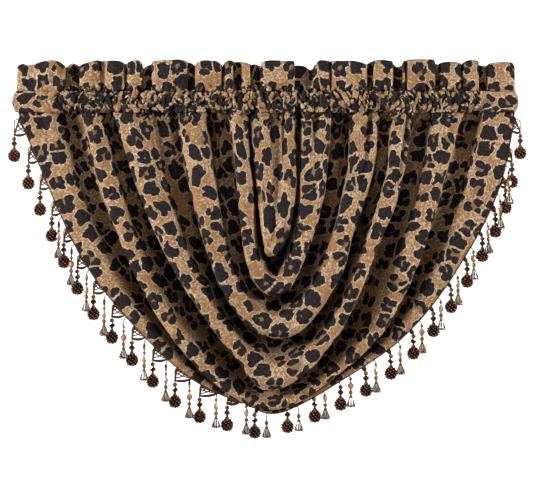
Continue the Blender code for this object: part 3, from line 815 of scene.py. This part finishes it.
# Painted highlights: small lighter beads set on each seed bead of a ball, standing in for its shine
GLINT = plain("bead_highlight_tips", (0.130, 0.068, 0.032), 0.5)
CREAM = plain("cream_seed_beads", (0.300, 0.220, 0.140), 0.3, Specular_IOR_Level=0.6)
AMBER = plain("amber_beads", (0.130, 0.066, 0.028), 0.35, Specular_IOR_Level=0.8)
CLEAR = plain("champagne_crystal", (0.145, 0.098, 0.056), 0.35, Specular_IOR_Level=0.8)
BELL = plain("bell_crystal", (0.165, 0.132, 0.096), 0.4, Specular_IOR_Level=0.8)
RIM = plain("bell_edges", (0.030, 0.017, 0.010), 0.3)


# ---------------------------------------------------------------- beads
def tube_faces(rings, sides, first=0):
    """Quads round a tube of rings of points, numbered from first."""
    ids = first + np.arange(rings * sides).reshape(rings, sides)
    after = np.roll(ids, -1, axis=1)
    return np.stack([ids[:-1], ids[1:], after[1:], after[:-1]], axis=-1).reshape(-1, 4).tolist()


def lathe(profile, sides):
    """Points and faces of a turned bead. profile gives (height, radius) from the top down."""
    turns = [FULL_TURN * i / sides for i in range(sides)]
    points = [
        (radius * math.cos(t), radius * math.sin(t), height) for height, radius in profile for t in turns
    ]
    ends = [list(range(sides)), list(range(len(points) - 1, len(points) - sides - 1, -1))]
    return np.array(points, dtype=float), tube_faces(len(profile), sides) + ends


def round_profile(half_height, radius, rings, hole=0.25):
    """An oval bead's profile, with its flattened ends at the thread."""
    turns = np.linspace(QUARTER_TURN - hole, -QUARTER_TURN + hole, rings)
    return [(half_height * math.sin(t) / math.cos(hole), radius * math.cos(t)) for t in turns]


def spun(angle):
    """Turns a shape's points about the vertical."""
    c, s = math.cos(angle), math.sin(angle)
    return np.array([[c, s, 0], [-s, c, 0], [0, 0, 1]])


class Pile:
    """Many small copies gathered into one mesh."""

    def __init__(self):
        self.points, self.faces, self.count = [], [], 0

    def add(self, shape, places, size=1.0, spin=0.0, axes=None):
        """Copies of a shape (millimetres) at places (metres), each turned to its own axes if any."""
        points, faces = shape
        points = (points * size) @ spun(spin)
        for number, place in enumerate(places):
            copy = points if axes is None else points @ axes[number]
            self.points.append(copy * MM + place)
            base = self.count
            self.faces.extend(tuple(base + i for i in face) for face in faces)
            self.count += len(points)

    def string(self, path, radius):
        """A thread of this radius along a path of points in metres."""
        along = unit(np.gradient(np.asarray(path), axis=0))
        side = unit(np.cross(along, (0.0, 1.0, 0.001)))
        other = np.cross(along, side)
        turns = np.arange(THREAD_SIDES) * FULL_TURN / THREAD_SIDES
        for point, right, up in zip(path, side, other):
            ring = np.outer(np.cos(turns), right) + np.outer(np.sin(turns), up)
            self.points.append(point + radius * MM * ring)
        self.faces.extend(tube_faces(len(path), THREAD_SIDES, self.count))
        self.count += len(path) * THREAD_SIDES

    def piece(self, name, material, faceted):
        mesh = bpy.data.meshes.new(name)
        mesh.from_pydata(np.concatenate(self.points), [], self.faces)
        if not faceted:
            mesh.shade_smooth()
        return new_piece(name, mesh, material)


def hem_frame(panel):
    """The hem's points in metres, the outward direction in the cloth, and that to its back."""
    points = at(*np.moveaxis(panel, -1, 0))
    edge, inside = points[-1], points[-3]
    along = np.gradient(edge, axis=0)
    back = unit(np.cross(edge - inside, along))
    back *= np.sign(back[:, 1:2])
    outward = np.cross(unit(along), back)
    outward *= np.sign((outward * (edge - inside)).sum(axis=1, keepdims=True))
    return edge, outward, back


def tape_surface(panel):
    """The middle of the trim's tape, from its upper edge to its lower one, in metres."""
    edge, outward, back = hem_frame(panel)
    centre = edge + back * (CLOTH / 2 + TAPE_BEHIND + TAPE_THICKNESS / 2) * MM
    shares = np.linspace(-TAPE_INSIDE, TAPE_OUTSIDE, 5)
    return np.array([centre + outward * share * MM for share in shares])[:, TAPE_COLUMNS]


def drop_places():
    """Each drop of the trim: its place along the hem from the middle, its kind and its length."""
    yield MIDDLE_BELL[0], "bell", MIDDLE_BELL[1]
    for side, first_ball, near, usual, far, bell_longer, bare in DROPS:
        for pair in range(PAIRS_EACH_SIDE):
            along = first_ball + pair * PAIR_SPACING
            length = near + (usual - near) * ease(along, 0, USUAL_FROM)
            length += (far - usual) * ease(along, *FAR_FROM)
            yield side * along, "ball", length
            if pair < PAIRS_EACH_SIDE - bare:
                yield side * (along + BELL_BEYOND), "bell", length + bell_longer


SEED = lathe(round_profile(2.6, 2.8, 5), 8)
SMALL_SEED = lathe(round_profile(1.3, 1.6, 4), 6)
ROUND = lathe([(5.4, 1.8), (3.2, 4.9), (0.0, 5.9), (-3.2, 4.9), (-5.4, 1.8)], 9)
BICONE = lathe([(7.4, 1.8), (2.2, 7.2), (-1.6, 7.4), (-7.4, 1.8)], 8)
CAP = lathe([(5.0, 1.8), (2.0, 4.0), (-2.5, 5.6), (-5.0, 6.2)], 12)
OVAL = lathe([(4.8, 1.2), (2.4, 3.2), (0.0, 3.9), (-2.4, 3.2), (-4.8, 1.2)], 9)
LOOP = lathe([(9.5, 1.0), (7.0, 2.6), (0.0, 3.4), (-7.0, 2.6), (-9.5, 1.0)], 9)
LONG_OVAL = lathe([(10.5, 1.6), (6.5, 4.6), (0.0, 6.0), (-6.5, 4.6), (-10.5, 1.6)], 9)
AMBER_BEAD = lathe([(10.0, 2.2), (4.5, 7.0), (-3.0, 7.6), (-10.0, 2.2)], 8)
GOLD_BEAD = lathe([(5.6, 1.8), (2.6, 4.6), (-2.2, 5.2), (-5.6, 2.4)], 9)
BELL_CAP = lathe([(4.0, 1.6), (1.0, 3.4), (-4.0, 4.2)], 10)
BELL_CORE = lathe([(9.5, 3.2), (3.0, 5.8), (-4.0, 8.6), (-8.0, 9.4), (-11.5, 7.6), (-13.0, 3.5)], 6)
BELL_RIBS = 6
BELL_RIB = ((10.0, 3.4), (3.0, 6.2), (-4.0, 9.2), (-8.0, 10.0), (-11.8, 8.0))  # height and radius
BELL_RIM = (-9.0, 9.6)
BALL_CORE = lathe(round_profile(12.0, 11.0, 9, 0.1), 16)
BALL_BEADS = 58
GLINT_OUT = 1.17  # the place on the ball of the lighter beads that paint a highlight on each seed bead, against the seed beads'
BALL_RADII = (13.0, 13.0, 13.8)  # of the middles of its beads
BALL_BUMPS = (0.05, 12.9898)  # how unevenly they lie, and how that changes from one to the next
STRAND_BEADS = 2.6  # spacing of the small beads on the rest of a strand
EDGE_BEADS = 3.3  # spacing of the seed beads sewn along the hem
NET_FROM = 58.0  # only the longer ball drops have a net
NET_REACH = 47.0  # how far it reaches along the hem
KNOT_HEIGHT = 52.0  # above the ball, where the net is tied to the strand
NET_SAGS = (1.5, 4.5)  # of the two threads along its lower edge
# Where each crossing starts, from the root down to the knot, and ends, from the root to the far corner
NET_CROSSINGS = ((0.15, 0.75), (0.45, 0.9), (0.5, 0.35), (0.8, 0.6), (0.25, 0.3))
STRAND, NET_THREAD, NET_CROSSING, RIB, RING = 1.1, 2.1, 1.6, 1.3, 2.0  # half of each one's thickness
THREAD_SIDES = 5
SAG_POINTS = 9  # along a sagging thread


def ball_beads():
    """Places and axes of the seed beads wound round a ball, in millimetres."""
    number = np.arange(BALL_BEADS)
    height = 1 - 2 * (number + 0.5) / BALL_BEADS
    turn = number * GOLDEN_ANGLE
    across = np.sqrt(1 - height * height)
    bumpy = 1 + BALL_BUMPS[0] * np.sin(number * BALL_BUMPS[1])
    places = np.stack([across * np.cos(turn), across * np.sin(turn), height], axis=-1)
    places *= BALL_RADII * bumpy[:, None]
    outward = unit(places)
    side = unit(np.cross(outward, (0.3, 0.2, 0.9)))
    return places, np.stack([outward, np.cross(side, outward), side], axis=1)


class Hem:
    """Places along the hem, by the distance from its lowest point in millimetres."""

    def __init__(self, panel):
        tape = tape_surface(panel)
        edge, outward, _ = hem_frame(panel)
        edge = edge[TAPE_COLUMNS]
        self.roots = tape[0] + (tape[-1] - tape[0]) * ROOT_ACROSS
        self.outer = tape[-1]
        self.outward = outward[TAPE_COLUMNS]
        arc = running(gaps(edge[:, [0, 2]])) / MM
        self.arc = arc - arc[np.argmin(edge[:, 2])]

    def read(self, values, along):
        return read_points(np.clip(along, self.arc[0] + 2, self.arc[-1] - 2), self.arc, values)

    def root(self, along):
        return self.read(self.roots, along)

    def swing(self, along):
        """How far a drop stands off the hem."""
        end_swing, start, end = SWING_AT_END
        reach = SWING_OUT + (end_swing - SWING_OUT) * ease(abs(along), start, end)
        return reach * self.read(self.outward, along)[0]


def sagging(start, end, sag):
    """A path of points between two places, sagging by so many millimetres."""
    share = np.linspace(0, 1, SAG_POINTS)
    return start + np.outer(share, end - start) + at(0, 0, 4 * sag * share * (1 - share))


def beads_on(path, spacing):
    """Places at even distances along a path."""
    steps = running(gaps(path)) / MM
    return read_points(np.arange(spacing / 2, steps[-1], spacing), steps, path)


PILES = (
    # piece, material, whether its facets show
    # the third piece holds the lighter beads that paint a highlight on each seed bead of the balls
    ("trim_threads", THREAD, False), ("seed_beads", BRONZE, False), ("bead_highlight_tips", GLINT, False),
    ("small_brown_beads", BRONZE, False), ("ball_cores", CORE, False), ("faceted_beads", SMOKE, True),
    ("golden_beads", GOLD, True), ("cream_beads", CREAM, False), ("amber_beads", AMBER, True),
    ("crystal_beads", CLEAR, True), ("bells", BELL, True), ("bell_rims", RIM, False),
    ("bead_caps", GOLD, False),
)


def build_trim(panel):
    """Every piece of the bead trim."""
    hem = Hem(panel)
    piles = [Pile() for _ in PILES]
    threads, seeds, glints, brown, cores, smoke, gold, cream, amber, clear, bells, rims, caps = piles
    ball_places, ball_axes = ball_beads()
    # The larger beads over a ball and a bell: drops longer than from_length have them, at height over
    # the drop's middle, and small beads fill the strand from top on
    strands = {
        # from_length, pile, bead, height, top
        "ball": ((0, smoke, BICONE, 29.5, 37), (48, gold, ROUND, 42, 48)),
        "bell": (
            (0, gold, GOLD_BEAD, 23.5, 29),
            (50, clear, LONG_OVAL, 39.5, 50),
            (62, gold, OVAL, 55, 60),
            (82, smoke, LOOP, 70, 80),
        ),
    }

    def net(along, on_strand):
        """The net between a ball's strand and the hem: a beaded leg, sagging threads and crossings."""
        knot, root = on_strand(KNOT_HEIGHT), hem.root(along)
        reaches = along - math.copysign(1, along) * np.arange(6.0, NET_REACH, 1.0)
        level = hem.read(hem.outer, reaches)[:, 2] <= knot[2] + 0.003
        far = reaches[np.argmax(level)] if level.any() else reaches[-1]
        corner = hem.read(hem.outer, far)
        for sag in NET_SAGS:
            threads.string(sagging(knot, corner, sag), NET_THREAD)
        for down, back in NET_CROSSINGS:
            finish = hem.read(hem.outer, along + (far - along) * back)
            path = sagging(root + (knot - root) * down, finish, 2.0)
            threads.string(path, NET_CROSSING)
            (cream if back > 0.5 else brown).add(SMALL_SEED, path[2:7:2])
        leg = beads_on(np.array([root, knot]), 3.0)
        brown.add(SMALL_SEED, leg[::2], size=1.9)
        gold.add(SMALL_SEED, leg[1::2], size=1.7)
        lower = beads_on(sagging(knot, corner, 3.0), 3.2)
        brown.add(SMALL_SEED, lower[::2], size=1.4)
        cream.add(SMALL_SEED, lower[1::3])

    for number, (along, kind, length) in enumerate(sorted(drop_places())):
        root, swing = hem.root(along), hem.swing(along)
        lean = 0.0 if kind == "ball" else BELL_LEAN

        def on_strand(height):
            down = max(length - height, 0.0)
            return root + at(swing * ease(down, 0, 10), lean * down / length, down)

        downs = np.array([0, 3, 7, 12, 20, 0.6 * length, length])
        threads.string(root + at(swing * ease(downs, 0, 10), lean * downs / length, downs), STRAND)
        spin = RANDOM.uniform(0, math.pi)
        middle = on_strand(0)
        if kind == "ball":
            cores.add(BALL_CORE, [middle])
            turned = spun(spin)
            places, axes = ball_places @ turned * MM, ball_axes @ turned
            seeds.add(SEED, middle + places, axes=axes)
            # a lighter small bead on each seed bead: a painted highlight
            glints.add(SMALL_SEED, middle + places * GLINT_OUT, axes=axes)
            caps.add(CAP, [on_strand(18.5)])
        else:
            bells.add(BELL_CORE, [middle], spin=spin)
            for turn in np.arange(BELL_RIBS) * FULL_TURN / BELL_RIBS - spin:
                rib = [on_strand(h) + at(r * math.cos(turn), r * math.sin(turn), 0) for h, r in BELL_RIB]
                rims.string(rib, RIB)
            turns = np.linspace(0, FULL_TURN, 19)
            rim_height, rim = BELL_RIM
            rims.string(on_strand(rim_height) + at(rim * np.cos(turns), rim * np.sin(turns), 0), RING)
            caps.add(BELL_CAP, [on_strand(14)])
        for from_length, pile, bead, height, end in strands[kind]:
            if length <= from_length:
                break
            if pile is clear and number % 3 == 0:
                pile, bead = amber, AMBER_BEAD
            pile.add(bead, [on_strand(height)], spin=spin)
            top = end
        if kind == "ball" and length > NET_FROM:
            net(along, on_strand)
        small = [on_strand(height) for height in np.arange(top + 1.5, length - 1, STRAND_BEADS)]
        (brown if kind == "ball" else gold).add(SMALL_SEED, small)

    edge_places = np.arange(hem.arc[0] + 3, hem.arc[-1] - 3, EDGE_BEADS)
    brown.add(SMALL_SEED, hem.read(hem.outer, edge_places))

    tape = tape_surface(panel) / (MM, -MM, -MM)
    tape_piece = new_piece("trim_tape", grid_mesh("trim_tape", tape, arc_uvs(tape)), BRAID)
    thicken(tape_piece, TAPE_THICKNESS)
    made = [tape_piece] + [pile.piece(*look) for pile, look in zip(piles, PILES)]
    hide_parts("bead_trim")
    return made


# ---------------------------------------------------------------- the valance
def cloth_piece(name, points, uvs, thickness, ids=None):
    """A sheet of the cloth, with its pattern in front and its reverse behind."""
    piece = new_piece(name, grid_mesh(name, points, uvs, ids), FRONT, BACK)
    return thicken(piece, thickness, back=1)


def build_cloth():
    """The panel, pocket and header, and the panel's surface in millimetres."""
    surface, plain_surface, shifts = panel_surface()
    uvs = relaxed_uvs(plain_surface) + shifts
    panel = cloth_piece("draped_panel", surface, uvs, CLOTH, weld_ids(PANEL_ROWS, PANEL_COLUMNS))
    points, shifts = pocket_surface(surface)
    uvs = arc_uvs(points) + shifts + POCKET_CUT
    pocket = cloth_piece("shirred_pocket", points[::-1], uvs[::-1], CLOTH)
    points, shifts = header_surface()
    uvs = arc_uvs(points) + shifts + HEADER_CUT
    header = cloth_piece("ruffled_header", points[::-1], uvs[::-1], HEADER_LAYER)
    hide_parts("swag_panel")
    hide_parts("rod_pocket")
    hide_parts("header_ruffle")
    return panel, pocket, header, surface


# ---------------------------------------------------------------- staging
FLOOR_LEVEL = -1.6
FLOOR_CORNERS = ((-6, -7), (6, -7), (6, 3), (-6, 3))
LIT_POINT = (0, 0, -0.45)
LIGHTS = (
    # name, place, size, watts
    ("left", (-3.7, -1.55, 0.7), 1.1, 290),
    ("right", (3.7, -1.55, 0.5), 1.1, 230),
    ("top", (-0.3, -1.5, 3.1), 1.4, 68),
    ("front", (0.5, -4.6, 0.5), 0.15, 9),
    ("left behind", (-2.6, 3.0, 1.4), 1.1, 170),
    ("right behind", (2.6, 3.0, 1.4), 1.1, 140),
)
GLOW = 0.058  # light from all round; the camera itself sees white
CAMERA_AT = (0.0025, -5.0, -0.4425)
VIEW_WIDTH = 1.3138  # how much the camera sees at the rod's depth


def stage_room():
    """A pale floor, soft studio light and a camera straight in front. All of it in metres."""
    mesh = bpy.data.meshes.new("floor")
    mesh.from_pydata([(x, y, FLOOR_LEVEL) for x, y in FLOOR_CORNERS], [], [(0, 1, 2, 3)])
    mesh.materials.append(plain("pale_floor", (0.82, 0.81, 0.79), 0.9))
    staged = [in_scene("floor", mesh)]
    for name, place, size, power in LIGHTS:
        light = bpy.data.lights.new(name, "AREA")
        light.size, light.energy = size, power
        lamp = in_scene(name, light)
        lamp.location = place
        lamp.rotation_euler = (Vector(LIT_POINT) - Vector(place)).to_track_quat("-Z", "Y").to_euler()
        staged.append(lamp)
    world = bpy.data.worlds.new("studio")
    world.use_nodes = True
    sky = world.node_tree.nodes["Background"]
    sky.inputs["Color"].default_value = (1, 1, 1, 1)
    seen = world.node_tree.nodes.new("ShaderNodeLightPath")
    bright = world.node_tree.nodes.new("ShaderNodeMapRange")
    bright.inputs["To Min"].default_value = GLOW
    world.node_tree.links.new(seen.outputs["Is Camera Ray"], bright.inputs["Value"])
    world.node_tree.links.new(bright.outputs["Result"], sky.inputs["Strength"])
    scene = bpy.context.scene
    scene.world = world
    scene.view_settings.view_transform = "Standard"
    scene.view_settings.look = "High Contrast"
    camera = in_scene("camera", bpy.data.cameras.new("camera"))
    camera.location = CAMERA_AT
    camera.rotation_euler = (QUARTER_TURN, 0, 0)
    camera.data.lens = camera.data.sensor_width * -CAMERA_AT[1] / VIEW_WIDTH
    scene.camera = camera


def main():
    panel, pocket, header, surface = build_cloth()
    trim = build_trim(surface)
    stage_room()


main()
